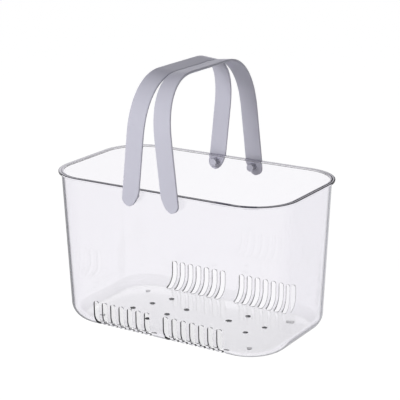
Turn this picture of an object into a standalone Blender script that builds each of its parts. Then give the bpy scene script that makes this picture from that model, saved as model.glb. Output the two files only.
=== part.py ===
"""Clear shower basket: a slotted tub with two strap handles that lean together over it.

X runs along the tub, Y across it and Z up, with the origin on the ground under its middle.
"""
import math

import bmesh
import bpy
from mathutils import Matrix, Vector

MM = 0.001

# Clearance between neighbouring pieces
GAP = 0.3 * MM

# Tub, over its outer faces
RIM_LENGTH = 270 * MM
RIM_WIDTH = 156.5 * MM
RIM_CORNER = 45 * MM
BODY_HEIGHT = 157 * MM
FLOOR_CORNER = 44 * MM
END_DRAFT = 6.5 * MM
SIDE_DRAFT = 1.5 * MM
HEEL = 16 * MM
WALL = 2 * MM
FLOOR = 2.2 * MM

# Lip turned out round the rim
LIP_REACH = 3 * MM
LIP_THICKNESS = 2 * MM
RIM_ROUND = 0.7 * MM

# Low feet moulded under the floor
FOOT_HEIGHT = 1.2 * MM
FOOT_TOP_RADIUS = 3 * MM
FOOT_BASE_RADIUS = 2.2 * MM
FOOT_X = 88.4 * MM
FOOT_Y = 42.4 * MM

# Slots in groups along both long walls, down through the heel to the edge of the floor
SLOT_COUNT = 7
SLOT_PITCH = 10.3 * MM
SLOT_WIDTH = 6.4 * MM
SLOT_TOP = 29.5 * MM
SLOT_ROUND = 2.6 * MM
SLOT_GROUP_X = 42.1 * MM
SLOT_FLOOR_MARGIN = 0.3 * MM

# Drain holes on a skewed grid: steps along a row and from column to column
HOLE_RADIUS = 2.9 * MM
HOLE_START = Vector((-72.4 * MM, -9.5 * MM))
HOLE_ROW_STEP = Vector((10.4 * MM, 21.5 * MM))
HOLE_COLUMN_STEP = Vector((30.9 * MM, -18.7 * MM))
HOLE_BLOCK_STEP = Vector((95.2 * MM, -1.7 * MM))
HOLE_COLUMNS = 2
LEFT_HOLE_ROWS = (0, 1, 2)
RIGHT_HOLE_ROWS = (1, 2)

# Strap handles, bent to a bail
STRAP_WIDTH = 19.3 * MM
STRAP_THICKNESS = 2.4 * MM
STRAP_EDGE = 0.6 * MM
STRAP_TIP = 1.2 * MM
STRAP_LIP_CLEARANCE = 0.9 * MM
STRAP_RISE = 118.2 * MM
ARCH_RISE = 58 * MM
ARCH_REACH = 48 * MM
ARCH_POWER = 2.3

# Foot of a strap: a tight round on its outer edge, a long taper on the edge towards the other handle
STRAP_FOOT_DROP = 9.5 * MM
FOOT_ROUND_RISE = 7.8 * MM
FOOT_ROUND_POWER = 2.2
FOOT_TAPER_SPAN = 10.5 * MM
FOOT_TAPER_RISE = 19 * MM
FOOT_TAPER_POWER = 1.8

# Pivots of the handles, under the lip
PIVOT_X = 22.7 * MM
PIVOT_DROP = 7.8 * MM
BOSS_RADIUS = 3.8 * MM
STRAP_SKIN = 1.2 * MM
SHAFT_RADIUS = 2 * MM
HEAD_RADIUS = 4.1 * MM
HEAD_HEIGHT = 2.6 * MM
HEAD_ROUND = 0.8 * MM

# Facets of the round stretches
CORNER_STEPS = 10
HEEL_STEPS = 7
LIP_STEPS = 4
SLOT_STEPS = 4
ARCH_STEPS = 12
STRAP_FOOT_STEPS = 12
EDGE_STEPS = 2
HOLE_SIDES = 16
STUD_SIDES = 24
HEAD_STEPS = 3

# Places that follow from the sizes
RIM_Z = FOOT_HEIGHT + BODY_HEIGHT
PIVOT_Z = RIM_Z - PIVOT_DROP
HOLE_RADIUS_AT_PIVOT = SHAFT_RADIUS + GAP
LEG_Y = RIM_WIDTH / 2 + STRAP_LIP_CLEARANCE + STRAP_THICKNESS / 2
OVERCUT = 5 * WALL

CLEAR_COLOUR = (0.90, 0.90, 0.94, 1.0)
GREY_COLOUR = (0.60, 0.58, 0.65, 1.0)
STUD_COLOUR = (0.56, 0.54, 0.61, 1.0)


def clear_scene():
    """Removes every object, so the script can be run again."""
    for obj in list(bpy.data.objects):
        bpy.data.objects.remove(obj, do_unlink=True)


def new_collection(name):
    """Returns a collection linked to the scene."""
    collection = bpy.data.collections.new(name)
    bpy.context.scene.collection.children.link(collection)
    return collection


def new_object(name, bm, collection):
    """Turns a bmesh into an object with its faces pointing out and its round faces smooth."""
    bmesh.ops.recalc_face_normals(bm, faces=bm.faces)
    mesh = bpy.data.meshes.new(name)
    bm.to_mesh(mesh)
    bm.free()
    mesh.shade_smooth()
    mesh.set_sharp_from_angle(angle=math.radians(35))
    obj = bpy.data.objects.new(name, mesh)
    collection.objects.link(obj)
    return obj


def dress(obj, colour, roughness, transmission=0.0):
    """Gives the object its own plastic."""
    material = bpy.data.materials.new(obj.name)
    material.use_nodes = True
    shader = material.node_tree.nodes["Principled BSDF"]
    shader.inputs["Base Color"].default_value = colour
    shader.inputs["Roughness"].default_value = roughness
    shader.inputs["Metallic"].default_value = 0.0
    shader.inputs["Transmission Weight"].default_value = transmission
    material.diffuse_color = colour
    obj.data.materials.append(material)


def combine(obj, tool, operation):
    """Joins or cuts the object with another one, which stays as a wire guide."""
    tool.display_type = "WIRE"
    tool.hide_render = True
    modifier = obj.modifiers.new(tool.name, "BOOLEAN")
    modifier.operation = operation
    modifier.solver = "EXACT"
    modifier.object = tool


def add_loft(bm, rings):
    """Adds a closed solid through rings of equally many points, with flat ends."""
    loops = [[bm.verts.new(point) for point in ring] for ring in rings]
    for first, second in zip(loops, loops[1:]):
        for i in range(len(first)):
            j = (i + 1) % len(first)
            bm.faces.new((first[i], first[j], second[j], second[i]))
    bm.faces.new(loops[0])
    bm.faces.new(loops[-1])


def add_cylinder(bm, radius, start, end, sides, end_radius=None):
    """Adds a cylinder or a cone between two points."""
    axis = end - start
    turn = Vector((0, 0, 1)).rotation_difference(axis).to_matrix().to_4x4()
    bmesh.ops.create_cone(
        bm,
        cap_ends=True,
        segments=sides,
        radius1=radius,
        radius2=radius if end_radius is None else end_radius,
        depth=axis.length,
        matrix=Matrix.Translation((start + end) / 2) @ turn,
    )


def arc(radius, start_degrees, end_degrees, steps):
    """Returns the points (along, across) of an arc about its centre."""
    points = []
    for step in range(steps + 1):
        angle = math.radians(start_degrees + (end_degrees - start_degrees) * step / steps)
        points.append((radius * math.cos(angle), radius * math.sin(angle)))
    return points


def rounded_rectangle(half_length, half_width, radius, steps):
    """Returns the outline of a rectangle with round corners, as points (x, y)."""
    outline = []
    for quarter, (side_x, side_y) in enumerate(((1, 1), (-1, 1), (-1, -1), (1, -1))):
        for x, y in arc(radius, 90 * quarter, 90 * quarter + 90, steps):
            outline.append((side_x * (half_length - radius) + x, side_y * (half_width - radius) + y))
    return outline


def wall_half_width(z):
    """Half width of the tub over its long walls at a height."""
    return RIM_WIDTH / 2 - LIP_REACH - SIDE_DRAFT * (RIM_Z - z) / BODY_HEIGHT


def tub_ring(offset, z):
    """Outline of the tub at a height, moved out from its outer wall face by an offset."""
    fall = (RIM_Z - z) / BODY_HEIGHT
    wall_corner = RIM_CORNER - LIP_REACH
    radius = wall_corner + (FLOOR_CORNER - wall_corner) * fall + offset
    half_length = RIM_LENGTH / 2 - LIP_REACH - END_DRAFT * fall + offset
    outline = rounded_rectangle(half_length, wall_half_width(z) + offset, radius, CORNER_STEPS)
    return [Vector((x, y, z)) for x, y in outline]


def tub_profile():
    """Section of the tub from under its floor, up outside, over the lip and down inside."""
    heel_z = FOOT_HEIGHT + HEEL
    heel_inside = HEEL - WALL
    inner_heel_z = FOOT_HEIGHT + FLOOR + heel_inside
    lip_radius = LIP_THICKNESS / 2
    lip_z = RIM_Z - lip_radius
    profile = [(x - HEEL, heel_z + z) for x, z in arc(HEEL, -90, 0, HEEL_STEPS)]
    profile.append((0, RIM_Z - LIP_THICKNESS))
    profile += [(LIP_REACH - lip_radius + x, lip_z + z) for x, z in arc(lip_radius, -90, 90, LIP_STEPS)]
    inner_edge = reversed(arc(RIM_ROUND, 0, 90, LIP_STEPS // 2))
    profile += [(RIM_ROUND - WALL - x, RIM_Z - RIM_ROUND + z) for x, z in inner_edge]
    profile += [(x - HEEL, inner_heel_z + z) for x, z in arc(heel_inside, 0, -90, HEEL_STEPS)]
    return profile


def slot_rings(centre_x, side):
    """Rings of the cutter of one slot: round at its top and where it ends on the floor."""
    half = SLOT_WIDTH / 2
    end_y = wall_half_width(FOOT_HEIGHT) - HEEL + SLOT_FLOOR_MARGIN
    outer_y = RIM_WIDTH / 2
    shoulder = FOOT_HEIGHT + SLOT_TOP - SLOT_ROUND
    levels = [(half, FOOT_HEIGHT - OVERCUT)]
    levels += [(half - SLOT_ROUND + x, shoulder + z) for x, z in arc(SLOT_ROUND, 0, 90, SLOT_STEPS)]
    rings = []
    for width, z in levels:
        outline = [(x, end_y + half + y) for x, y in arc(width, 180, 360, 2 * SLOT_STEPS)]
        outline += [(width, outer_y), (-width, outer_y)]
        rings.append([Vector((centre_x + x, side * y, z)) for x, y in outline])
    return rings


def hole_centres():
    """Centres of the drain holes: three rows of a block on the left, the back two on the right."""
    centres = []
    for block, rows in enumerate((LEFT_HOLE_ROWS, RIGHT_HOLE_ROWS)):
        for row in rows:
            for column in range(HOLE_COLUMNS):
                start = HOLE_START + HOLE_BLOCK_STEP * block
                centres.append(start + HOLE_ROW_STEP * row + HOLE_COLUMN_STEP * column)
    return centres


def make_slot_cutter(guides):
    """All the slots of both long walls."""
    bm = bmesh.new()
    for side in (-1, 1):
        for group in (-1, 1):
            for index in range(SLOT_COUNT):
                centre_x = group * SLOT_GROUP_X + (index - (SLOT_COUNT - 1) / 2) * SLOT_PITCH
                add_loft(bm, slot_rings(centre_x, side))
    return new_object("slot_cutter", bm, guides)


def make_hole_cutter(guides):
    """The drain holes, and the holes of the pivots through both long walls."""
    bm = bmesh.new()
    low = FOOT_HEIGHT - OVERCUT
    high = FOOT_HEIGHT + FLOOR + OVERCUT
    for centre in hole_centres():
        add_cylinder(bm, HOLE_RADIUS, Vector((*centre, low)), Vector((*centre, high)), HOLE_SIDES)
    for side in (-1, 1):
        start = Vector((side * PIVOT_X, -RIM_WIDTH / 2, PIVOT_Z))
        end = Vector((side * PIVOT_X, RIM_WIDTH / 2, PIVOT_Z))
        add_cylinder(bm, HOLE_RADIUS_AT_PIVOT, start, end, HOLE_SIDES)
    return new_object("hole_cutter", bm, guides)


def make_tub_feet(guides):
    """The four feet, sunk half way into the floor that they are moulded on."""
    bm = bmesh.new()
    for side_x in (-1, 1):
        for side_y in (-1, 1):
            centre = Vector((side_x * FOOT_X, side_y * FOOT_Y, 0))
            top = centre + Vector((0, 0, FOOT_HEIGHT + FLOOR / 2))
            add_cylinder(bm, FOOT_BASE_RADIUS, centre, top, HOLE_SIDES, end_radius=FOOT_TOP_RADIUS)
    return new_object("tub_feet", bm, guides)


def make_tub(parts, guides):
    """The clear tub with its lip, feet, slots and holes."""
    bm = bmesh.new()
    add_loft(bm, [tub_ring(offset, z) for offset, z in tub_profile()])
    tub = new_object("tub", bm, parts)
    combine(tub, make_tub_feet(guides), "UNION")
    combine(tub, make_slot_cutter(guides), "DIFFERENCE")
    combine(tub, make_hole_cutter(guides), "DIFFERENCE")
    dress(tub, CLEAR_COLOUR, 0.05, transmission=0.9)
    return tub


def foot_edge(span, rise, power, height):
    """How far an edge of a strap foot is from its tip line, at a height above the tip."""
    fall = max(1 - height / rise, 0)
    return max(span * (1 - fall ** power) ** (1 / power), STRAP_TIP / 2)


def strap_half():
    """Mid-line of half a strap from the tip of its foot to the middle of the grip.

    Each station is (y, z, outer edge, inner edge) about the pivot, on the side of negative y.
    """
    edge_x = STRAP_WIDTH / 2
    tip_x = edge_x - FOOT_TAPER_SPAN
    stations = []
    for step in range(STRAP_FOOT_STEPS + 1):
        height = FOOT_TAPER_RISE * (1 - math.cos(math.pi / 2 * step / STRAP_FOOT_STEPS))
        outer = foot_edge(STRAP_WIDTH - FOOT_TAPER_SPAN, FOOT_ROUND_RISE, FOOT_ROUND_POWER, height)
        inner = foot_edge(FOOT_TAPER_SPAN, FOOT_TAPER_RISE, FOOT_TAPER_POWER, height)
        stations.append((-LEG_Y, height - STRAP_FOOT_DROP, tip_x - outer, tip_x + inner))
    for step in range(ARCH_STEPS + 1):
        angle = math.pi / 2 * step / ARCH_STEPS
        across = ARCH_REACH * abs(math.cos(angle)) ** (2 / ARCH_POWER)
        rise = ARCH_RISE * abs(math.sin(angle)) ** (2 / ARCH_POWER)
        stations.append((ARCH_REACH - LEG_Y - across, STRAP_RISE - ARCH_RISE + rise, -edge_x, edge_x))
    return stations


def strap_rings(side):
    """Sections of a strap square to its mid-line, from one foot to the other."""
    half = strap_half()
    stations = half + [(-y, *station) for y, *station in reversed(half)]
    rings = []
    for index, (y, z, outer_x, inner_x) in enumerate(stations):
        before = stations[max(index - 1, 0)]
        after = stations[min(index + 1, len(stations) - 1)]
        along = Vector((0, after[0] - before[0], after[1] - before[1])).normalized()
        outwards = along.cross(Vector((1, 0, 0)))
        width = (inner_x - outer_x) / 2
        middle = Vector((-side * (inner_x + outer_x) / 2, y, z))
        edge = min(STRAP_EDGE, width / 2)
        outline = rounded_rectangle(width, STRAP_THICKNESS / 2, edge, EDGE_STEPS)
        rings.append([middle + Vector((x, 0, 0)) + outwards * depth for x, depth in outline])
    return rings


def boss_end_y():
    """Where the bosses of a strap end, clear of the wall over their whole height."""
    return wall_half_width(PIVOT_Z + BOSS_RADIUS) + GAP


def bore_end_y():
    """Bottom of the blind bore in a boss, which leaves a skin on the outside of the strap."""
    return LEG_Y + STRAP_THICKNESS / 2 - STRAP_SKIN


def make_boss_guides(name, guides):
    """Bosses behind the feet of a strap, and the bores for its studs."""
    bosses = bmesh.new()
    bores = bmesh.new()
    for side in (-1, 1):
        boss_end = Vector((0, side * boss_end_y(), 0))
        add_cylinder(bosses, BOSS_RADIUS, boss_end, Vector((0, side * LEG_Y, 0)), STUD_SIDES)
        bore_mouth = Vector((0, side * (boss_end_y() - OVERCUT), 0))
        bore_end = Vector((0, side * bore_end_y(), 0))
        add_cylinder(bores, HOLE_RADIUS_AT_PIVOT, bore_mouth, bore_end, HOLE_SIDES)
    return new_object(name + "_bosses", bosses, guides), new_object(name + "_bores", bores, guides)


def rest_lean():
    """Angle at which each handle leans in when the grips meet, one clearance apart."""
    grip_top = STRAP_RISE + STRAP_THICKNESS / 2
    reach = math.hypot(grip_top, STRAP_WIDTH / 2)
    return math.asin((PIVOT_X - GAP / 2) / reach) - math.atan2(STRAP_WIDTH / 2, grip_top)


def make_handle(name, side, parts, guides):
    """A strap handle, with its origin on its pivot axis."""
    bm = bmesh.new()
    add_loft(bm, strap_rings(side))
    handle = new_object(name, bm, parts)
    bosses, bores = make_boss_guides(name, guides)
    combine(handle, bosses, "UNION")
    combine(handle, bores, "DIFFERENCE")
    bosses.parent = handle
    bores.parent = handle
    handle.location = (side * PIVOT_X, 0, PIVOT_Z)
    handle.rotation_euler = (0, -side * rest_lean(), 0)
    dress(handle, GREY_COLOUR, 0.35)
    return handle


def stud_profile(head_seat, tip):
    """Half section of a stud: its head stands up from the seat, its shaft goes down to the tip."""
    head_top = head_seat + HEAD_HEIGHT
    crown_x = HEAD_RADIUS - HEAD_ROUND
    crown_z = head_top - HEAD_ROUND
    crown = [(crown_x + x, crown_z + z) for x, z in arc(HEAD_ROUND, 90, 0, HEAD_STEPS)]
    shaft = [(HEAD_RADIUS, head_seat), (SHAFT_RADIUS, head_seat), (SHAFT_RADIUS, tip)]
    return [(0, head_top)] + crown + shaft + [(0, tip)]


def make_stud(name, handle, side_y, parts):
    """A stud pushed through the wall from inside the tub into the boss of a strap."""
    wall_inside = wall_half_width(PIVOT_Z - HEAD_RADIUS) - WALL
    head_seat = -(wall_inside - GAP)
    tip = -(bore_end_y() - GAP)
    points = stud_profile(head_seat, tip)
    bm = bmesh.new()
    verts = [bm.verts.new((x, 0, z)) for x, z in points]
    for first, second in zip(verts, verts[1:]):
        bm.edges.new((first, second))
    mesh = bpy.data.meshes.new(name)
    bm.to_mesh(mesh)
    bm.free()
    stud = bpy.data.objects.new(name, mesh)
    parts.objects.link(stud)
    screw = stud.modifiers.new("turning", "SCREW")
    screw.axis = "Z"
    screw.steps = STUD_SIDES
    screw.render_steps = STUD_SIDES
    screw.use_merge_vertices = True
    screw.merge_threshold = 0.01 * MM
    screw.use_smooth_shade = True
    stud.parent = handle
    stud.rotation_euler = (side_y * math.pi / 2, 0, 0)
    dress(stud, STUD_COLOUR, 0.35)
    return stud


def main():
    """Builds the basket."""
    clear_scene()
    parts = new_collection("shower_basket")
    guides = new_collection("guides")
    make_tub(parts, guides)
    for side, side_name in ((-1, "left"), (1, "right")):
        handle = make_handle("handle_" + side_name, side, parts, guides)
        make_stud("stud_" + side_name + "_front", handle, -1, parts)
        make_stud("stud_" + side_name + "_back", handle, 1, parts)


main()
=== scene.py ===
"""Looks of a clear shower basket with two strap handles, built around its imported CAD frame.

X runs along the basket, Y from its front to its back and Z up, in metres, as in the CAD.
"""

import functools
import logging
import math
from dataclasses import dataclass
from enum import Enum
from typing import Callable, Sequence

import bmesh
import bpy
from mathutils import Matrix, Vector


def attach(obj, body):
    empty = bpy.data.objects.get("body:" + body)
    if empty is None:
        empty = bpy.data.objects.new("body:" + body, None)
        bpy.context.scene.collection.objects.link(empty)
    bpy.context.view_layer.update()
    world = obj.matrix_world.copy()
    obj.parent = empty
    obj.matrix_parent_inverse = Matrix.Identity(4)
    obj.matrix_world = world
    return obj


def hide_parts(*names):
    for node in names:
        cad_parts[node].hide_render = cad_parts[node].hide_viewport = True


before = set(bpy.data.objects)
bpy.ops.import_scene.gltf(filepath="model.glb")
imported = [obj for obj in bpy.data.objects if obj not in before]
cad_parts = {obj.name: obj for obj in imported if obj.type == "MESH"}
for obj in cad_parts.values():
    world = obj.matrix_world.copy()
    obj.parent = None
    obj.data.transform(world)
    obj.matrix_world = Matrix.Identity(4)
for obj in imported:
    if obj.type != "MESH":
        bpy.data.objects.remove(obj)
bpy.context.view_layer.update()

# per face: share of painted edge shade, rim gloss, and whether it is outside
FACE_MARKS = "face_marks"
NOISE_MIDDLE = (0.3, 0.7)  # where nearly all values of a noise lie
MM = 0.001

Point = tuple[float, float]
Place = tuple[float, float, float]
Colour = tuple[float, float, float]
Marks = tuple[float, float, float]
Station = tuple[float, float, float, float]
Mesh = bmesh.types.BMesh
Socket = bpy.types.NodeSocket

WHITE: Colour = (1.0, 1.0, 1.0)

log = logging.getLogger("shower_basket")


class Named(Enum):
    """Options whose words are used in the names of pieces."""

    @property
    def label(self) -> str:
        """Word for the option in names."""
        return self.name.lower()


class Side(Named):
    """Which handle, by the side of the basket that its feet stand on."""

    LEFT = -1
    RIGHT = 1


class Wall(Named):
    """Which long wall of the basket."""

    FRONT = -1
    BACK = 1


# Curves and meshes


def arc(radius: float, start: float, end: float, steps: int) -> list[Point]:
    """Points of an arc about its centre.

    Args:
        radius: Radius of the arc.
        start: First angle in degrees.
        end: Last angle in degrees.
        steps: How many chords it has.

    Returns:
        One (along, across) pair for each end of a chord.
    """
    angles = [math.radians(start + (end - start) * step / steps) for step in range(steps + 1)]
    return [(radius * math.cos(angle), radius * math.sin(angle)) for angle in angles]


def shifted(points: Sequence[Point], along: float, across: float) -> list[Point]:
    """The same points moved by two distances."""
    return [(x + along, y + across) for x, y in points]


def rounded_rectangle(
    half_length: float, half_width: float, radius: float, steps: int
) -> list[Point]:
    """Outline of a rectangle with round corners.

    Args:
        half_length: Half of its size along x.
        half_width: Half of its size along y.
        radius: Radius of its corners.
        steps: Chords of each corner.

    Returns:
        Its points (x, y), in order round the outline.
    """
    along, across = half_length - radius, half_width - radius
    outline = []
    for quarter, (side_x, side_y) in enumerate(((1, 1), (-1, 1), (-1, -1), (1, -1))):
        corner = arc(radius, 90 * quarter, 90 * quarter + 90, steps)
        outline += shifted(corner, side_x * along, side_y * across)
    return outline


def between(start: Point, end: Point, steps: int) -> list[Point]:
    """Points that divide a line evenly, without its two ends.

    Args:
        start: First end of the line.
        end: Other end of the line.
        steps: Into how many parts it is divided.

    Returns:
        The dividing points.
    """
    along, across = end[0] - start[0], end[1] - start[1]
    shares = [step / steps for step in range(1, steps)]
    return [(start[0] + along * share, start[1] + across * share) for share in shares]


def add_loft(mesh: Mesh, rings: Sequence[Sequence[Vector]]) -> None:
    """Adds a closed solid through rings of equally many points, with flat ends.

    Args:
        mesh: Mesh that receives the solid.
        rings: Its sections in order.
    """
    loops = [[mesh.verts.new(point) for point in ring] for ring in rings]
    for first, second in zip(loops, loops[1:]):
        for i in range(len(first)):
            j = (i + 1) % len(first)
            mesh.faces.new((first[i], first[j], second[j], second[i]))
    mesh.faces.new(loops[0])
    mesh.faces.new(loops[-1])


def add_turned(mesh: Mesh, section: Sequence[Point], place: Matrix, sides: int) -> None:
    """Adds a solid turned about the z axis of a place.

    Args:
        mesh: Mesh that receives the solid.
        section: Points (radius, height) from one end to the other, none of them on the axis.
        place: Where the turned solid goes.
        sides: How many facets go round it.
    """
    turns = [2 * math.pi * side / sides for side in range(sides)]
    circle = [(math.cos(turn), math.sin(turn)) for turn in turns]
    rings = []
    for radius, height in section:
        rings.append([place @ Vector((radius * x, radius * y, height)) for x, y in circle])
    add_loft(mesh, rings)


def turn_towards(axis: Vector) -> Matrix:
    """Turn that takes +z to a direction, as a 4x4 matrix."""
    return Vector((0, 0, 1)).rotation_difference(axis).to_matrix().to_4x4()


def new_object(name: str, mesh: Mesh) -> bpy.types.Object:
    """Turns a mesh into an object of the scene, with its faces pointing out.

    Args:
        name: Name of the object.
        mesh: Mesh to use, which is freed.

    Returns:
        The new object.
    """
    bmesh.ops.recalc_face_normals(mesh, faces=mesh.faces)
    data = bpy.data.meshes.new(name)
    mesh.to_mesh(data)
    mesh.free()
    made = bpy.data.objects.new(name, data)
    bpy.context.scene.collection.objects.link(made)
    return made


def solid(name: str, build: Callable[[Mesh], None]) -> bpy.types.Object:
    """Makes an object from a function that fills an empty mesh.

    Args:
        name: Name of the object.
        build: Function that adds the faces.

    Returns:
        The new object.
    """
    mesh = bmesh.new()
    build(mesh)
    return new_object(name, mesh)


def mark(piece: bpy.types.Object, marks: Sequence[Marks]) -> None:
    """Writes on each face how much painted shade its edge gets, and whether it is on the rim or
    outside.

    Args:
        piece: Piece to mark.
        marks: Values for as many equal runs of faces, in order; faces left over get none.
    """
    layer = piece.data.attributes.new(FACE_MARKS, "FLOAT_VECTOR", "FACE")
    count = len(piece.data.polygons)
    run = count // len(marks)
    values = [number for triple in marks for _ in range(run) for number in triple]
    layer.data.foreach_set("vector", values + [0.0] * (3 * count - len(values)))


def carve(piece: bpy.types.Object, tool: bpy.types.Object, operation: str) -> None:
    """Joins or cuts a piece with a tool, for good, and removes the tool.

    Args:
        piece: Piece whose mesh changes.
        tool: Solid that is added or taken away.
        operation: UNION or DIFFERENCE.
    """
    modifier = piece.modifiers.new(tool.name, "BOOLEAN")
    modifier.operation = operation
    modifier.solver = "EXACT"
    modifier.object = tool
    evaluated = piece.evaluated_get(bpy.context.evaluated_depsgraph_get())
    carved = bpy.data.meshes.new_from_object(evaluated)
    piece.modifiers.clear()
    spent = piece.data
    piece.data = carved
    bpy.data.meshes.remove(spent)
    bpy.data.objects.remove(tool, do_unlink=True)


def smooth(piece: bpy.types.Object, sharp_degrees: float) -> None:
    """Shades a piece smooth between its sharp edges.

    Args:
        piece: Piece to shade.
        sharp_degrees: Angle from which an edge counts as sharp.
    """
    piece.data.shade_smooth()
    piece.data.set_sharp_from_angle(angle=math.radians(sharp_degrees))
    weighted = piece.modifiers.new("even_shading", "WEIGHTED_NORMAL")
    weighted.keep_sharp = True


# Finishes


class NodeSheet:
    """A node tree under construction."""

    def __init__(self, tree: bpy.types.NodeTree) -> None:
        """Starts with an empty tree."""
        self.tree = tree
        tree.nodes.clear()

    def add(self, kind: str, inputs: dict | None = None, **settings: object) -> bpy.types.Node:
        """Adds a node.

        Args:
            kind: Blender's name for the node type.
            inputs: Input socket name or number to a value or to an output socket of another node.
            settings: Properties of the node itself.

        Returns:
            The new node.
        """
        node = self.tree.nodes.new(kind)
        for key, value in settings.items():
            setattr(node, key, value)
        for key, value in (inputs or {}).items():
            if isinstance(value, Socket):
                self.tree.links.new(value, node.inputs[key])
            else:
                node.inputs[key].default_value = value
        return node

    def noise(self, where: Socket, scale: float, detail: float = 2.0) -> Socket:
        """Adds a noise texture.

        Args:
            where: Coordinates.
            scale: Noise cells per metre.
            detail: Octaves of finer noise.

        Returns:
            Its value from 0 to 1.
        """
        node = self.add("ShaderNodeTexNoise", {"Vector": where, "Scale": scale, "Detail": detail})
        return node.outputs["Fac"]

    def span(self, value: Socket, limits: Point, low: float, high: float) -> Socket:
        """Maps a value between two limits to a range.

        Args:
            value: Value to map.
            limits: Values that give the two ends of the range.
            low: Result at the first limit.
            high: Result at the second limit.

        Returns:
            The mapped value.
        """
        ends = {"From Min": limits[0], "From Max": limits[1], "To Min": low, "To Max": high}
        return self.add("ShaderNodeMapRange", {"Value": value, **ends}).outputs["Result"]

    def calculate(self, operation: str, first: object, second: object) -> Socket:
        """Combines two values.

        Args:
            operation: Blender's name for the sum.
            first: First value or output socket.
            second: Second value or output socket.

        Returns:
            The result, between 0 and 1.
        """
        terms = {0: first, 1: second}
        return self.add("ShaderNodeMath", terms, operation=operation, use_clamp=True).outputs[0]

    def parts(self, vector: Socket) -> tuple[Socket, Socket, Socket]:
        """The three numbers of a vector."""
        x, y, z = self.add("ShaderNodeSeparateXYZ", {"Vector": vector}).outputs
        return x, y, z

    def facing(self) -> Socket:
        """0 where one looks straight at the surface and 1 where one looks along it."""
        return self.add("ShaderNodeLayerWeight").outputs["Facing"]

    def mix(self, share: Socket, first: Socket, second: Socket) -> Socket:
        """Mixes two shaders.

        Args:
            share: 0 for the first shader, 1 for the second.
            first: First shader.
            second: Second shader.

        Returns:
            The mixed shader.
        """
        return self.add("ShaderNodeMixShader", {0: share, 1: first, 2: second}).outputs[0]

    def outwards(self) -> Socket:
        """Normal that points out of the plastic, also where light meets a face from inside.

        The true normal is turned round there, so it is multiplied by 1 minus twice Backfacing.

        Returns:
            The normal of the flat face.
        """
        geometry = self.add("ShaderNodeNewGeometry").outputs
        flip = {0: geometry["Backfacing"], 1: -2.0, 2: 1.0}
        sign = self.add("ShaderNodeMath", flip, operation="MULTIPLY_ADD")
        inputs = {0: geometry["True Normal"], "Scale": sign.outputs[0]}
        return self.add("ShaderNodeVectorMath", inputs, operation="SCALE").outputs["Vector"]

    def blend(self, share: Socket, first: Colour, second: Colour) -> Socket:
        """Mixes two colours.

        Args:
            share: 0 for the first colour, 1 for the second.
            first: Linear colour.
            second: Linear colour.

        Returns:
            The mixed colour.
        """
        ramp = self.add("ShaderNodeValToRGB", {"Fac": share})
        ramp.color_ramp.elements[0].color = (*first, 1.0)
        ramp.color_ramp.elements[1].color = (*second, 1.0)
        return ramp.outputs["Color"]

    def tint(self, share: object, first: object, second: object, kind: str) -> Socket:
        """Combines two colours, each a socket or a plain colour, at the node's sockets 6 and 7.

        Args:
            share: Share of the second colour.
            first: First colour.
            second: Second colour.
            kind: MIX or MULTIPLY.

        Returns:
            The combined colour.
        """
        inputs = {0: share, 6: first, 7: second}
        return self.add("ShaderNodeMix", inputs, data_type="RGBA", blend_type=kind).outputs[2]

    def bump(self, height: Socket, strength: float, distance: float) -> Socket:
        """Turns a height into a normal.

        Args:
            height: Height from 0 to 1.
            strength: How much of the relief shows.
            distance: Depth of the relief in metres.

        Returns:
            The bumped normal.
        """
        inputs = {"Height": height, "Strength": strength, "Distance": distance}
        return self.add("ShaderNodeBump", inputs).outputs["Normal"]


def new_material(name: str) -> tuple[bpy.types.Material, NodeSheet]:
    """Makes an empty material.

    Args:
        name: Name of the material.

    Returns:
        The material and its node sheet.
    """
    material = bpy.data.materials.new(name)
    material.use_nodes = True
    return material, NodeSheet(material.node_tree)


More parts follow.
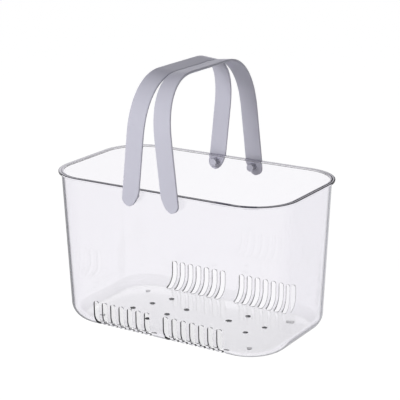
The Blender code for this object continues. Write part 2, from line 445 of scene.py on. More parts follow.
@dataclass(frozen=True)
class ClearPlastic:
    """Polished clear moulded plastic, with shade painted where one looks along a wall, on its cut
    faces, its lip lines and its left outline.

    A span gives the two values between which a share runs: lengths in metres, or facings and
    parts of a normal from -1 to 1.
    """

    name: str = "clear_polystyrene"
    tint: Colour = WHITE
    flow_tint: Colour = (0.992, 0.99, 0.996)
    flow_scale: float = 22.0
    gloss: Point = (0.0, 0.012)
    ripple: float = 0.02
    ripple_depth: float = 0.4 * MM
    ior: float = 1.53
    absorbed: Colour = (0.06, 0.0, 0.25)
    density: float = 9.0
    shadow: Colour = (0.96, 0.96, 0.97)
    wall_tint: Colour = (0.955, 0.949, 0.966)
    # slope and silhouette colours: painted shade where one looks along the outside of a wall
    grazing_painted_shade: Colour = (0.82, 0.81, 0.85)
    silhouette_painted_shade: Colour = (0.1, 0.1, 0.13)
    slope_start: float = 0.2
    slope_end: float = 0.6
    rim_end: float = 0.7
    level_span: Point = (0.965, 0.992)
    level_roughness: float = 0.04
    # painted shade along the outline of the walls, strongest at the left end
    outline_painted_shade: float = 0.42
    outline_span: Point = (0.62, 0.72)
    left_painted_shade_span: Point = (-105 * MM, -60 * MM)
    top_tint: Colour = (0.8, 0.78, 0.85)
    top_roughness: float = 0.06
    top_span: Point = (0.48, 0.66)
    # near-black colour painted on cut faces as shade, with the masks and shares that place it
    painted_edge_shade: Colour = (0.03, 0.03, 0.04)
    near_side: Place = (0.53, -0.85, 0.0)
    near_span: Point = (-20 * MM, 30 * MM)
    near_painted_shade: float = 0.92
    side_span: Point = (0.2, 0.8)
    low_span: Point = (6 * MM, 11 * MM)
    end_span: Point = (-0.6, -0.85)
    upward_span: Point = (0.3, 0.6)
    foot_end_painted_shade: float = 0.5
    foot_span: Point = (1.22 * MM, 1.28 * MM)
    far_painted_shades: Point = (0.65, 0.08)
    far_span: Point = (-0.5, 0.5)

    def level(self, sheet: NodeSheet) -> Socket:
        """Tells level faces from all others.

        Args:
            sheet: Node sheet of the material.

        Returns:
            1 on level faces and 0 elsewhere.
        """
        normal = sheet.add("ShaderNodeNewGeometry").outputs["True Normal"]
        tilt = sheet.parts(normal)[2]
        size = sheet.add("ShaderNodeMath", {0: tilt}, operation="ABSOLUTE").outputs[0]
        return sheet.span(size, self.level_span, 0.0, 1.0)

    def outline(self, sheet: NodeSheet, where: Socket, outside: Socket, level: Socket) -> Socket:
        """Works out the painted shade on the outline of the walls, which is strongest at the left
        end.

        Args:
            sheet: Node sheet of the material.
            where: Place on the object.
            outside: 1 on the outside of the walls.
            level: 1 on level faces.

        Returns:
            The share of painted shade.
        """
        x = sheet.parts(where)[0]
        left_painted_shade = sheet.span(x, self.left_painted_shade_span, self.outline_painted_shade, 0.0)
        turned = sheet.span(sheet.facing(), self.outline_span, 0.0, 1.0)
        share = sheet.calculate("MULTIPLY", outside, left_painted_shade)
        share = sheet.calculate("MULTIPLY", share, turned)
        return sheet.calculate("MULTIPLY", share, sheet.calculate("SUBTRACT", 1.0, level))

    def wall_tint_and_painted_grazing_shade(self, sheet: NodeSheet, outside: Socket, level: Socket) -> Socket:
        """Tints the upright walls, and paints shade on their outside by how far one looks along
        it, in place of dark reflections.

        Args:
            sheet: Node sheet of the material.
            outside: 1 on the outside of the walls.
            level: 1 on level faces, which keep their colour.

        Returns:
            The tint.
        """
        ramp = sheet.add("ShaderNodeValToRGB", {"Fac": sheet.facing()})
        stops = ramp.color_ramp.elements
        stops[0].position, stops[0].color = self.slope_start, (*self.wall_tint, 1.0)
        stops[1].position, stops[1].color = self.rim_end, (*self.silhouette_painted_shade, 1.0)
        stops.new(self.slope_end).color = (*self.grazing_painted_shade, 1.0)
        upright = sheet.tint(outside, (*self.wall_tint, 1.0), ramp.outputs["Color"], "MIX")
        return sheet.tint(level, upright, (*WHITE, 1.0), "MIX")

    def painted_edge_shade_share(self, sheet: NodeSheet, where: Socket) -> Socket:
        """Works out how much painted shade a cut face gets.

        On the near side the shade is painted on the faces that look right or up, the round ends of
        the slots and the feet, and on the far side mostly on the faces that look left.

        Args:
            sheet: Node sheet of the material.
            where: Place on the object.

        Returns:
            The share of painted shade.
        """
        terms = {0: where, 1: self.near_side}
        near = sheet.add("ShaderNodeVectorMath", terms, operation="DOT_PRODUCT").outputs["Value"]
        nearness = sheet.span(near, self.near_span, 0.0, 1.0)
        height = sheet.parts(where)[2]
        right, back, up = sheet.parts(sheet.outwards())
        side = sheet.span(right, self.side_span, 0.0, 1.0)
        dark = sheet.calculate("MULTIPLY", side, sheet.span(height, self.low_span, 0.0, 1.0))
        for other in (
            sheet.span(back, self.end_span, 0.0, 1.0),
            sheet.span(up, self.upward_span, 0.0, 1.0),
            sheet.span(height, self.foot_span, self.foot_end_painted_shade, 0.0),
        ):
            dark = sheet.calculate("MAXIMUM", dark, other)
        near_painted_edge = sheet.calculate("MULTIPLY", dark, self.near_painted_shade)
        far_painted_edge = sheet.span(right, self.far_span, *self.far_painted_shades)
        inputs = {"Value": nearness, "To Min": far_painted_edge, "To Max": near_painted_edge}
        return sheet.add("ShaderNodeMapRange", inputs).outputs["Result"]

    @functools.cache
    def material(self) -> bpy.types.Material:
        """Builds the material with its flow marks, ripples, inner absorption and painted shade.

        Returns:
            The material, which is built once.
        """
        material, sheet = new_material(self.name)
        where = sheet.add("ShaderNodeTexCoord").outputs["Object"]
        marks = sheet.add("ShaderNodeAttribute", attribute_name=FACE_MARKS).outputs["Vector"]
        cut, top, outside = sheet.parts(marks)
        level = self.level(sheet)
        # tint of the walls, with painted shade where one looks along them
        along = self.wall_tint_and_painted_grazing_shade(sheet, outside, level)
        flow = sheet.noise(where, self.flow_scale)
        clear = sheet.blend(flow, self.flow_tint, self.tint)
        gloss = sheet.span(flow, NOISE_MIDDLE, *self.gloss)
        floor_gloss = sheet.calculate("MULTIPLY", level, self.level_roughness)
        inputs = {
            "Base Color": sheet.tint(1.0, clear, along, "MULTIPLY"),
            "Roughness": sheet.calculate("MAXIMUM", gloss, floor_gloss),
            "IOR": self.ior,
            "Transmission Weight": 1.0,
            "Normal": sheet.bump(flow, self.ripple, self.ripple_depth),
        }
        body = sheet.add("ShaderNodeBsdfPrincipled", inputs).outputs["BSDF"]
        polish = {"Color": (*self.top_tint, 1.0), "Roughness": self.top_roughness}
        glint = sheet.add("ShaderNodeBsdfAnisotropic", polish).outputs[0]
        grazing = sheet.span(sheet.facing(), self.top_span, 0.0, 1.0)
        surface = sheet.mix(sheet.calculate("MULTIPLY", top, grazing), body, glint)
        # painted shade: a near-black diffuse on the cut faces and the lip lines
        edge = sheet.add("ShaderNodeBsdfDiffuse", {"Color": (*self.painted_edge_shade, 1.0)}).outputs[0]
        depth = sheet.calculate("MULTIPLY", cut, self.painted_edge_shade_share(sheet, where))
        # the painted shade of the outline joins the painted shade of the cut faces
        depth = sheet.calculate("MAXIMUM", depth, self.outline(sheet, where, outside, level))
        surface = sheet.mix(depth, surface, edge)
        passing = sheet.add("ShaderNodeBsdfTransparent", {"Color": (*self.shadow, 1.0)}).outputs[0]
        shadow_ray = sheet.add("ShaderNodeLightPath").outputs["Is Shadow Ray"]
        surface = sheet.mix(shadow_ray, surface, passing)
        inner = {"Color": (*self.absorbed, 1.0), "Density": self.density}
        volume = sheet.add("ShaderNodeVolumeAbsorption", inner).outputs["Volume"]
        sheet.add("ShaderNodeOutputMaterial", {"Surface": surface, "Volume": volume})
        return material


@dataclass(frozen=True)
class SatinPlastic:
    """Coloured plastic with a fine moulded grain."""

    name: str
    colour: Colour
    shade: Colour
    ior: float = 1.5
    roughness: Point = (0.36, 0.44)
    specular: float = 0.35
    sheen: float = 0.25
    sheen_roughness: float = 0.35
    sheen_tint: Colour = (0.8, 0.78, 0.95)
    mottle_scale: float = 38.0
    mottle_detail: float = 3.0
    grain_scale: float = 2600.0
    grain: float = 0.12
    grain_depth: float = 0.05 * MM

    @functools.cache
    def material(self) -> bpy.types.Material:
        """Builds the material with its mottled colour and its grain.

        Returns:
            The material, which is built once.
        """
        material, sheet = new_material(self.name)
        where = sheet.add("ShaderNodeTexCoord").outputs["Object"]
        mottle = sheet.noise(where, self.mottle_scale, self.mottle_detail)
        grain = sheet.noise(where, self.grain_scale)
        inputs = {
            "Base Color": sheet.blend(mottle, self.shade, self.colour),
            "Roughness": sheet.span(grain, NOISE_MIDDLE, *self.roughness),
            "IOR": self.ior,
            "Specular IOR Level": self.specular,
            "Sheen Weight": self.sheen,
            "Sheen Roughness": self.sheen_roughness,
            "Sheen Tint": (*self.sheen_tint, 1.0),
            "Normal": sheet.bump(grain, self.grain, self.grain_depth),
        }
        surface = sheet.add("ShaderNodeBsdfPrincipled", inputs)
        sheet.add("ShaderNodeOutputMaterial", {"Surface": surface.outputs["BSDF"]})
        return material


CLEAR = ClearPlastic()
STRAP_GREY = SatinPlastic(
    "lavender_grey_satin", colour=(0.565, 0.56, 0.64), shade=(0.535, 0.53, 0.61)
)
STUD_GREY = SatinPlastic(
    "stud_grey_satin", colour=(0.52, 0.515, 0.59), shade=(0.49, 0.485, 0.56), roughness=(0.3, 0.38)
)


# The tub


@dataclass
class ClearTub:
    """The clear tub: walls, rounded heel, lip, slots, drain holes and feet in one moulding.

    The weights for the feet, slots and holes set how much painted shade goes on the faces that
    these leave in it.
    """

    rim_length: float = 270 * MM
    rim_width: float = 156.5 * MM
    rim_corner: float = 45 * MM
    body_height: float = 157 * MM
    floor_corner: float = 44 * MM
    end_draft: float = 6.5 * MM
    side_draft: float = 1.5 * MM
    heel: float = 16 * MM
    wall: float = 2 * MM
    floor: float = 2.2 * MM
    overcut: float = 10 * MM
    lip_reach: float = 3 * MM
    lip_thickness: float = 2 * MM
    rim_round: float = 0.35 * MM
    foot_height: float = 1.2 * MM
    foot_top_radius: float = 3 * MM
    foot_base_radius: float = 2.2 * MM
    foot_place: Point = (88.4 * MM, 42.4 * MM)
    slot_count: int = 7
    slot_pitch: float = 10.3 * MM
    slot_width: float = 6.4 * MM
    slot_top: float = 29.5 * MM
    slot_round: float = 2.6 * MM
    slot_group_x: float = 42.1 * MM
    slot_floor_margin: float = 0.3 * MM
    hole_radius: float = 2.9 * MM
    hole_start: Point = (-72.4 * MM, -9.5 * MM)
    hole_row_step: Point = (10.4 * MM, 21.5 * MM)
    hole_column_step: Point = (30.9 * MM, -18.7 * MM)
    hole_block_step: Point = (95.2 * MM, -1.7 * MM)
    hole_rows: tuple[tuple[int, ...], ...] = ((0, 1, 2), (1, 2))
    hole_columns: int = 2
    pivot_x: float = 22.7 * MM
    pivot_drop: float = 7.8 * MM
    pivot_hole_radius: float = 2.3 * MM
    lip_edge: float = 0.45 * MM
    # stretches of the lip top, each with the darkness of its painted line of shade
    lip_painted_lines: tuple[Point, ...] = (
        (2.1 * MM, 1.2), (0.5 * MM, 0.6), (-0.6 * MM, 1.2), (-1.3 * MM, 0.3)
    )
    lip_slack: float = 0.005 * MM
    lip_gloss: float = 0.75
    feet_painted_shade: float = 1.0
    slots_painted_shade: float = 1.0
    holes_painted_shade: float = 2.4
    corner_steps: int = 40
    heel_steps: int = 14
    wall_steps: int = 6
    edge_steps: int = 4
    slot_steps: int = 7
    hole_sides: int = 32
    sharp_angle: float = 40

    @property
    def rim_z(self) -> float:
        """Height of the top of the rim."""
        return self.foot_height + self.body_height

    @property
    def pivot_z(self) -> float:
        """Height of the pivots of the handles."""
        return self.rim_z - self.pivot_drop

    def half_width(self, z: float) -> float:
        """Half width of the tub over its long walls at a height."""
        draft = self.side_draft * (self.rim_z - z) / self.body_height
        return self.rim_width / 2 - self.lip_reach - draft

    def ring(self, offset: float, z: float) -> list[Vector]:
        """Outline of the tub at a height.

        Args:
            offset: How far out it is moved from the outer wall face.
            z: Height.

        Returns:
            Its points in order.
        """
        fall = (self.rim_z - z) / self.body_height
        wall_corner = self.rim_corner - self.lip_reach
        radius = wall_corner + (self.floor_corner - wall_corner) * fall + offset
        half_length = self.rim_length / 2 - self.lip_reach - self.end_draft * fall + offset
        half_width = self.half_width(z) + offset
        outline = rounded_rectangle(half_length, half_width, radius, self.corner_steps)
        return [Vector((x, y, z)) for x, y in outline]

    def section(self) -> list[Point]:
        """Works out the section of the tub, up outside, over the lip and down inside.

        Returns:
            Its points, as the distance out from the outer wall face and the height.
        """
        heel_top = (0.0, self.foot_height + self.heel)
        under_lip = (0.0, self.rim_z - self.lip_thickness)
        heel_inside = self.heel - self.wall
        inner_heel_top = (-self.wall, self.foot_height + self.floor + heel_inside)
        rim_inside = (-self.wall, self.rim_z - self.rim_round)
        lip_x = self.lip_reach - self.lip_edge
        lip_low = under_lip[1] + self.lip_edge
        lip_high = self.rim_z - self.lip_edge
        outer_heel = arc(self.heel, -90, 0, self.heel_steps)
        section = shifted(outer_heel, -self.heel, heel_top[1])
        section += between(heel_top, under_lip, self.wall_steps)
        section.append(under_lip)
        section += shifted(arc(self.lip_edge, -90, 0, self.edge_steps), lip_x, lip_low)
        section += shifted(arc(self.lip_edge, 0, 90, self.edge_steps), lip_x, lip_high)
        section += [(x, self.rim_z) for x, _ in self.lip_painted_lines[:-1]]
        inner_edge = reversed(arc(self.rim_round, 0, 90, self.edge_steps))
        section += [(self.rim_round - self.wall - x, rim_inside[1] + z) for x, z in inner_edge]
        section += between(rim_inside, inner_heel_top, self.wall_steps)
        inner_heel = arc(heel_inside, 0, -90, self.heel_steps)
        section += shifted(inner_heel, -self.heel, inner_heel_top[1])
        return section

    def face_marks(self, section: Sequence[Point]) -> list[Marks]:
        """Marks the stretches of the section: the lines of painted shade on the rim, and the
        outside.

        Args:
            section: Points of the section in order.

        Returns:
            One triple of marks for each stretch.
        """
        crest = max(range(len(section)), key=lambda index: section[index][1])
        lip_foot = self.rim_z - self.lip_edge - self.lip_slack
        marks = []
        for index, (start, end) in enumerate(zip(section, section[1:])):
            if min(start[1], end[1]) < lip_foot:
                marks.append((0.0, 0.0, 1.0 if index < crest else 0.0))
                continue
            middle = (start[0] + end[0]) / 2
            painted_darks = [dark for x, dark in self.lip_painted_lines if middle > x]
            marks.append((painted_darks[0] if painted_darks else 0.0, self.lip_gloss, 0.0))
        return marks

    def slot_rings(self, centre_x: float, wall: Wall) -> list[list[Vector]]:
        """Sections of the cutter of one slot, from under the floor to its round top.

        Args:
            centre_x: Where the slot is along the wall.
            wall: Wall that it cuts.

        Returns:
            The sections in order.
        """
        half = self.slot_width / 2
        end_y = self.half_width(self.foot_height) - self.heel + self.slot_floor_margin
        shoulder = self.foot_height + self.slot_top - self.slot_round
        crown = arc(self.slot_round, 0, 90, self.slot_steps)
        levels = [(half, self.foot_height - self.overcut)]
        levels += shifted(crown, half - self.slot_round, shoulder)
        rings = []
        for width, z in levels:
            outline = shifted(arc(width, 180, 360, 2 * self.slot_steps), 0.0, end_y + half)
            outline += [(width, self.rim_width / 2), (-width, self.rim_width / 2)]
            rings.append([Vector((centre_x + x, wall.value * y, z)) for x, y in outline])
        return rings

    def add_slots(self, mesh: Mesh) -> None:
        """Adds the cutters of the four groups of slots.

        Args:
            mesh: Mesh that receives them.
        """
        for wall in Wall:
            for side in Side:
                for index in range(self.slot_count):
                    from_middle = (index - (self.slot_count - 1) / 2) * self.slot_pitch
                    centre_x = side.value * self.slot_group_x + from_middle
                    add_loft(mesh, self.slot_rings(centre_x, wall))

    def hole_centres(self) -> list[Point]:
        """Works out where the drain holes are, in two blocks of rows.

        Returns:
            Their centres (x, y).
        """
        steps = (self.hole_start, self.hole_block_step, self.hole_row_step, self.hole_column_step)
        centres = []
        for block, rows in enumerate(self.hole_rows):
            for row in rows:
                for column in range(self.hole_columns):
                    counts = (1, block, row, column)
                    x, y = (sum(n * step for n, step in zip(counts, axis)) for axis in zip(*steps))
                    centres.append((x, y))
        return centres

    def add_holes(self, mesh: Mesh) -> None:
        """Adds the cutters of the drain holes and of the pivot holes.

        Args:
            mesh: Mesh that receives them.
        """
        low = self.foot_height - self.overcut
        high = self.foot_height + self.floor + self.overcut
        drain = [(self.hole_radius, low), (self.hole_radius, high)]
        for centre in self.hole_centres():
            add_turned(mesh, drain, Matrix.Translation((*centre, 0)), self.hole_sides)
        bore = [(self.pivot_hole_radius, end * self.rim_width / 2) for end in (-1, 1)]
        for side in Side:
            place = Matrix.Translation((side.value * self.pivot_x, 0, self.pivot_z))
            add_turned(mesh, bore, place @ turn_towards(Vector((0, 1, 0))), self.hole_sides)

    def add_feet(self, mesh: Mesh) -> None:
        """Adds the four low feet.

        Args:
            mesh: Mesh that receives them.
        """
        top = self.foot_height + self.floor / 2
        section = [(self.foot_base_radius, 0.0), (self.foot_top_radius, top)]
        for side in Side:
            for wall in Wall:
                centre = (side.value * self.foot_place[0], wall.value * self.foot_place[1], 0)
                add_turned(mesh, section, Matrix.Translation(centre), self.hole_sides)

    def build(self, finish: ClearPlastic) -> bpy.types.Object:
        """Builds the tub and dresses it.

        Args:
            finish: Plastic of the tub.

        Returns:
            The finished piece.
        """
        section = self.section()
        rings = [self.ring(offset, z) for offset, z in section]
        shell = solid("tub_shell", lambda mesh: add_loft(mesh, rings))
        mark(shell, self.face_marks(section))
        # each tool leaves faces with its weight of painted shade
        for name, build, dark, operation in (
            ("feet", self.add_feet, self.feet_painted_shade, "UNION"),
            ("slots", self.add_slots, self.slots_painted_shade, "DIFFERENCE"),
            ("holes", self.add_holes, self.holes_painted_shade, "DIFFERENCE"),
        ):
            tool = solid(name, build)
            mark(tool, [(dark, 0.0, 0.0)])
            carve(shell, tool, operation)
        smooth(shell, self.sharp_angle)
        shell.data.materials.clear()
        shell.data.materials.append(finish.material())
        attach(shell, "tub")
        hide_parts("tub")
        return shell


# The handles


@dataclass
class StrapHandle:
    """One flat strap bent to a bail, with a boss behind each foot, leaning in over the tub."""

    side: Side
    tub: ClearTub
    width: float = 19.3 * MM
    thickness: float = 2.4 * MM
    edge: float = 1.05 * MM
    tip: float = 1.2 * MM
    lip_clearance: float = 0.9 * MM
    rise: float = 118.2 * MM
    arch_rise: float = 58 * MM
    arch_reach: float = 48 * MM
    arch_power: float = 2.3
    foot_drop: float = 9.5 * MM
    foot_round_rise: float = 7.8 * MM
    foot_round_power: float = 2.2
    foot_taper_span: float = 10.5 * MM
    foot_taper_rise: float = 19 * MM
    foot_taper_power: float = 1.8
    boss_radius: float = 3.8 * MM
    skin: float = 1.2 * MM
    gap: float = 0.3 * MM
    foot_steps: int = 22
    arch_steps: int = 40
    edge_steps: int = 4
    sides: int = 40
    sharp_angle: float = 50

    @property
    def leg_y(self) -> float:
        """Distance of the mid-line of each leg from the middle of the tub."""
        return self.tub.rim_width / 2 + self.lip_clearance + self.thickness / 2

    @property
    def lean(self) -> float:
        """Angle at which the handle leans in.

        Returns:
            The angle in radians, at which the two grips meet one gap apart.
        """
        grip_top = self.rise + self.thickness / 2
        reach = math.hypot(grip_top, self.width / 2)
        half_angle = math.atan2(self.width / 2, grip_top)
        return math.asin((self.tub.pivot_x - self.gap / 2) / reach) - half_angle

    @property
    def place(self) -> Matrix:
        """Place of the handle at rest, with its origin on its pivot axis."""
        pivot = Vector((self.side.value * self.tub.pivot_x, 0, self.tub.pivot_z))
        return Matrix.Translation(pivot) @ Matrix.Rotation(-self.side.value * self.lean, 4, "Y")

    @property
    def boss_end(self) -> float:
        """Where the bosses end, one gap off the wall."""
        return self.tub.half_width(self.tub.pivot_z + self.boss_radius) + self.gap

    @property
    def bore_end(self) -> float:
        """Bottom of the blind bore in each boss."""
        return self.leg_y + self.thickness / 2 - self.skin

    def foot_edge(self, span: float, rise: float, power: float, height: float) -> float:
        """Distance of an edge of a foot from the line of its tip.

        Args:
            span: That distance above the curved stretch.
            rise: Height of the curved stretch.
            power: Roundness of the curve, 2 for an ellipse.
            height: Height above the tip.

        Returns:
            The distance at that height.
        """
        fall = max(1 - height / rise, 0)
        return max(span * (1 - fall ** power) ** (1 / power), self.tip / 2)

    def half_line(self) -> list[Station]:
        """Follows the strap from the tip of its front foot to the middle of the grip.

        Returns:
            Stations of y, z, outer edge and inner edge.
        """
        edge_x = self.width / 2
        tip_x = edge_x - self.foot_taper_span
        outer_curve = (
            self.width - self.foot_taper_span, self.foot_round_rise, self.foot_round_power
        )
        inner_curve = (self.foot_taper_span, self.foot_taper_rise, self.foot_taper_power)
        stations = []
        for step in range(self.foot_steps + 1):
            height = self.foot_taper_rise * (1 - math.cos(math.pi / 2 * step / self.foot_steps))
            outer = self.foot_edge(*outer_curve, height)
            inner = self.foot_edge(*inner_curve, height)
            stations.append((-self.leg_y, height - self.foot_drop, tip_x - outer, tip_x + inner))
        for step in range(self.arch_steps + 1):
            angle = math.pi / 2 * step / self.arch_steps
            across = self.arch_reach * (1 - abs(math.cos(angle)) ** (2 / self.arch_power))
            up = self.arch_rise * (abs(math.sin(angle)) ** (2 / self.arch_power) - 1)
            stations.append((across - self.leg_y, self.rise + up, -edge_x, edge_x))
        return stations

    def rings(self) -> list[list[Vector]]:
        """Works out the sections of the strap, square to its mid-line.

        Returns:
            The sections from foot to foot.
        """
        half = self.half_line()
        stations = half + [(-y, *rest) for y, *rest in reversed(half)]
        rings = []
        for index, (y, z, outer_x, inner_x) in enumerate(stations):
            before = stations[max(index - 1, 0)]
            after = stations[min(index + 1, len(stations) - 1)]
            along = Vector((0, after[0] - before[0], after[1] - before[1])).normalized()
            outwards = along.cross(Vector((1, 0, 0)))
            width = (inner_x - outer_x) / 2
            middle = Vector((-self.side.value * (inner_x + outer_x) / 2, y, z))
            edge = min(self.edge, width / 2)
            outline = rounded_rectangle(width, self.thickness / 2, edge, self.edge_steps)
            rings.append([middle + Vector((x, 0, 0)) + outwards * depth for x, depth in outline])
        return rings

    def add_bosses(self, mesh: Mesh) -> None:
        """Adds the round bosses behind both feet.

        Args:
            mesh: Mesh that receives them.
        """
        section = [(self.boss_radius, self.boss_end), (self.boss_radius, self.leg_y)]
        for wall in Wall:
            add_turned(mesh, section, turn_towards(Vector((0, wall.value, 0))), self.sides)

    def add_bores(self, mesh: Mesh) -> None:
        """Adds the cutters of the blind bores in both bosses.

        Args:
            mesh: Mesh that receives them.
        """
        radius = self.tub.pivot_hole_radius
        section = [(radius, self.boss_end - self.tub.overcut), (radius, self.bore_end)]
        for wall in Wall:
            add_turned(mesh, section, turn_towards(Vector((0, wall.value, 0))), self.sides)

    def build(self, finish: SatinPlastic) -> bpy.types.Object:
        """Builds the handle in its place at rest and dresses it.

        Args:
            finish: Plastic of the strap.

        Returns:
            The finished piece.
        """
        label = self.side.label
        rings = self.rings()
        strap = solid("strap_" + label, lambda mesh: add_loft(mesh, rings))
        carve(strap, solid("bosses", self.add_bosses), "UNION")
        carve(strap, solid("bores", self.add_bores), "DIFFERENCE")
        strap.data.transform(self.place)
        smooth(strap, self.sharp_angle)
        strap.data.materials.clear()
        strap.data.materials.append(finish.material())
        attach(strap, "handle_" + label)
        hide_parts("handle_" + label)
        return strap


@dataclass
class PivotStud:
    """One headed stud, pushed through the wall from inside into the boss of a strap."""

    handle: StrapHandle
    wall: Wall
    shaft_radius: float = 2 * MM
    head_radius: float = 4.1 * MM
    head_height: float = 2.6 * MM
    head_round: float = 0.8 * MM
    tip_round: float = 0.4 * MM
    centre_radius: float = 0.05 * MM
    round_steps: int = 6
    sides: int = 48
    sharp_angle: float = 40

    def section(self) -> list[Point]:
        """Works out the half section of the stud.

        Returns:
            Its points, as the radius and the distance from the middle of the tub.
        """
        tub = self.handle.tub
        wall_inside = tub.half_width(tub.pivot_z - self.head_radius) - tub.wall
        seat = wall_inside - self.handle.gap
        top = seat - self.head_height
        tip = self.handle.bore_end - self.handle.gap
        crown = arc(self.head_round, 90, 0, self.round_steps)
        end = arc(self.tip_round, 0, 90, self.round_steps)
        crown_x, crown_z = self.head_radius - self.head_round, top + self.head_round
        section = [(self.centre_radius, top)]
        section += [(crown_x + x, crown_z - z) for x, z in crown]
        section += [(self.head_radius, seat), (self.shaft_radius, seat)]
        section += shifted(end, self.shaft_radius - self.tip_round, tip - self.tip_round)
        section.append((self.centre_radius, tip))
        return section

    def build(self, finish: SatinPlastic) -> bpy.types.Object:
        """Builds the stud in its place at rest and dresses it.

        Args:
            finish: Plastic of the stud.

        Returns:
            The finished piece.
        """
        label = self.handle.side.label + "_" + self.wall.label
        place = self.handle.place @ turn_towards(Vector((0, self.wall.value, 0)))
        section = self.section()
        stud = solid("pivot_" + label, lambda mesh: add_turned(mesh, section, place, self.sides))
        smooth(stud, self.sharp_angle)
        stud.data.materials.append(finish.material())
        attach(stud, "handle_" + self.handle.side.label)
        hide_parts("stud_" + label)
        return stud


# Floor, light and camera


def towards(azimuth: float, elevation: float) -> Vector:
    """Direction from the basket to a viewer.

    Args:
        azimuth: Degrees from the front, positive towards the right end.
        elevation: Degrees above the horizon.

    Returns:
        The unit direction.
    """
    turn, tilt = math.radians(azimuth), math.radians(elevation)
    level = math.cos(tilt)
    return Vector((math.sin(turn) * level, -math.cos(turn) * level, math.sin(tilt)))


@dataclass(frozen=True)
class SoftLamp:
    """A round softbox that stands round the basket and shines on its handles."""

    name: str
    azimuth: float
    elevation: float
    power: float
    diameter: float
    distance: float
    aim: Place = (0.0, 0.0, 200 * MM)

    def build(self) -> bpy.types.Object:
        """Adds the lamp, hidden from the reflections in the clear plastic.

        Returns:
            The lamp.
        """
        light = bpy.data.lights.new(self.name, "AREA")
        light.shape = "DISK"
        light.size = self.diameter
        light.energy = self.power
        lamp = bpy.data.objects.new(self.name, light)
        lamp.visible_glossy = False
        lamp.visible_transmission = False
        back = towards(self.azimuth, self.elevation)
        lamp.location = Vector(self.aim) + back * self.distance
        lamp.rotation_mode = "QUATERNION"
        lamp.rotation_quaternion = back.to_track_quat("Z", "Y")
        bpy.context.scene.collection.objects.link(lamp)
        return lamp


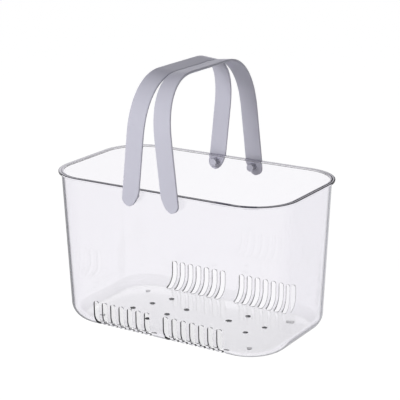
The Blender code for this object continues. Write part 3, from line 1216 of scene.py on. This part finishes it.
@dataclass
class Studio:
    """A pale floor, a white surround that darkens overhead, and a soft lamp."""

    floor_half: float = 30.0
    floor_drop: float = 0.1 * MM
    floor_colour: Colour = (0.84, 0.84, 0.845)
    floor_patch: Colour = (0.86, 0.86, 0.865)
    patch_scale: float = 3.0
    floor_glow: float = 1.15
    glow_share: float = 0.85
    horizon: Colour = WHITE
    ceiling: Colour = (0.03, 0.03, 0.04)
    horizon_end: float = 0.3
    ceiling_start: float = 0.42
    lamp: SoftLamp = SoftLamp(
        "key_lamp", azimuth=-16, elevation=27, power=7.9, diameter=400 * MM, distance=1150 * MM
    )

    def shown(self, sheet: NodeSheet) -> Socket:
        """Tells the rays that see the backdrop from those that carry its light.

        Args:
            sheet: Node sheet of the material.

        Returns:
            1 for rays from the camera, off gloss and through clear plastic.
        """
        path = sheet.add("ShaderNodeLightPath").outputs
        total = path["Is Camera Ray"]
        for kind in ("Is Glossy Ray", "Is Transmission Ray"):
            total = sheet.calculate("MAXIMUM", total, path[kind])
        return total

    def build_floor(self) -> bpy.types.Object:
        """Adds the floor that the basket stands on.

        Returns:
            The floor.
        """
        half = self.floor_half
        corners = ((-half, -half), (half, -half), (half, half), (-half, half))
        mesh = bmesh.new()
        mesh.faces.new([mesh.verts.new((x, y, -self.floor_drop)) for x, y in corners])
        floor = new_object("studio_floor", mesh)
        material, sheet = new_material("pale_floor")
        where = sheet.add("ShaderNodeTexCoord").outputs["Object"]
        patches = sheet.noise(where, self.patch_scale)
        tone = sheet.blend(patches, self.floor_colour, self.floor_patch)
        matt = sheet.add("ShaderNodeBsdfDiffuse", {"Color": tone}).outputs[0]
        light = {"Color": (*WHITE, 1.0), "Strength": self.floor_glow}
        glow = sheet.add("ShaderNodeEmission", light).outputs[0]
        share = sheet.calculate("MULTIPLY", self.shown(sheet), self.glow_share)
        sheet.add("ShaderNodeOutputMaterial", {"Surface": sheet.mix(share, matt, glow)})
        floor.data.materials.append(material)
        return floor

    def build_surround(self) -> None:
        """Sets the world, white to the camera and round the horizon, and else darker overhead."""
        world = bpy.data.worlds.new("studio_surround")
        world.use_nodes = True
        sheet = NodeSheet(world.node_tree)
        direction = sheet.add("ShaderNodeTexCoord").outputs["Generated"]
        limits = {"From Min": self.horizon_end, "From Max": self.ceiling_start}
        height = {"Value": sheet.parts(direction)[2], **limits}
        rise = sheet.add("ShaderNodeMapRange", height, interpolation_type="SMOOTHSTEP")
        tone = sheet.blend(rise.outputs["Result"], self.horizon, self.ceiling)
        surround = sheet.add("ShaderNodeBackground", {"Color": tone}).outputs[0]
        white = sheet.add("ShaderNodeBackground", {"Color": (*WHITE, 1.0)}).outputs[0]
        camera = sheet.add("ShaderNodeLightPath").outputs["Is Camera Ray"]
        sheet.add("ShaderNodeOutputWorld", {"Surface": sheet.mix(camera, surround, white)})
        bpy.context.scene.world = world

    def build(self) -> None:
        """Builds the floor, the surround and the lamp."""
        self.build_floor()
        self.build_surround()
        self.lamp.build()


@dataclass(frozen=True)
class PhotoCamera:
    """Camera at the photograph's viewing angle, found from the rim, walls and slots."""

    azimuth: float = 32.25
    elevation: float = 16.54
    roll: float = -0.39
    distance: float = 1426.63 * MM
    target: Place = (-22.64 * MM, 45.06 * MM, 115.31 * MM)
    lens: float = 122.522
    sensor: float = 36.0
    nearest: float = 50 * MM
    furthest: float = 100.0

    def build(self) -> bpy.types.Object:
        """Adds the camera and makes it the scene's own.

        Returns:
            The camera.
        """
        data = bpy.data.cameras.new("photo_camera")
        data.lens = self.lens
        data.sensor_width = self.sensor
        data.clip_start = self.nearest
        data.clip_end = self.furthest
        back = towards(self.azimuth, self.elevation)
        turn = math.radians(self.azimuth)
        across = Vector((math.cos(turn), math.sin(turn), 0))
        up = back.cross(across)
        upright = Matrix((across, up, back)).transposed()
        stance = upright @ Matrix.Rotation(math.radians(self.roll), 3, "Z")
        place = Vector(self.target) + back * self.distance
        camera = bpy.data.objects.new("photo_camera", data)
        camera.matrix_world = Matrix.Translation(place) @ stance.to_4x4()
        bpy.context.scene.collection.objects.link(camera)
        bpy.context.scene.camera = camera
        return camera


def report(piece: bpy.types.Object) -> None:
    """Logs a piece with its vertex count and its material."""
    material = piece.data.materials[0].name
    log.info("%s: %d vertices, %s", piece.name, len(piece.data.vertices), material)


def main() -> None:
    """Builds the basket, its studio and the camera."""
    logging.basicConfig(level=logging.INFO, format="%(name)s: %(message)s")
    bpy.context.scene.view_settings.view_transform = "Standard"
    PhotoCamera().build()
    Studio().build()
    tub = ClearTub()
    report(tub.build(CLEAR))
    for side in Side:
        handle = StrapHandle(side, tub)
        report(handle.build(STRAP_GREY))
        for wall in Wall:
            report(PivotStud(handle, wall).build(STUD_GREY))


if __name__ == "__main__":
    main()
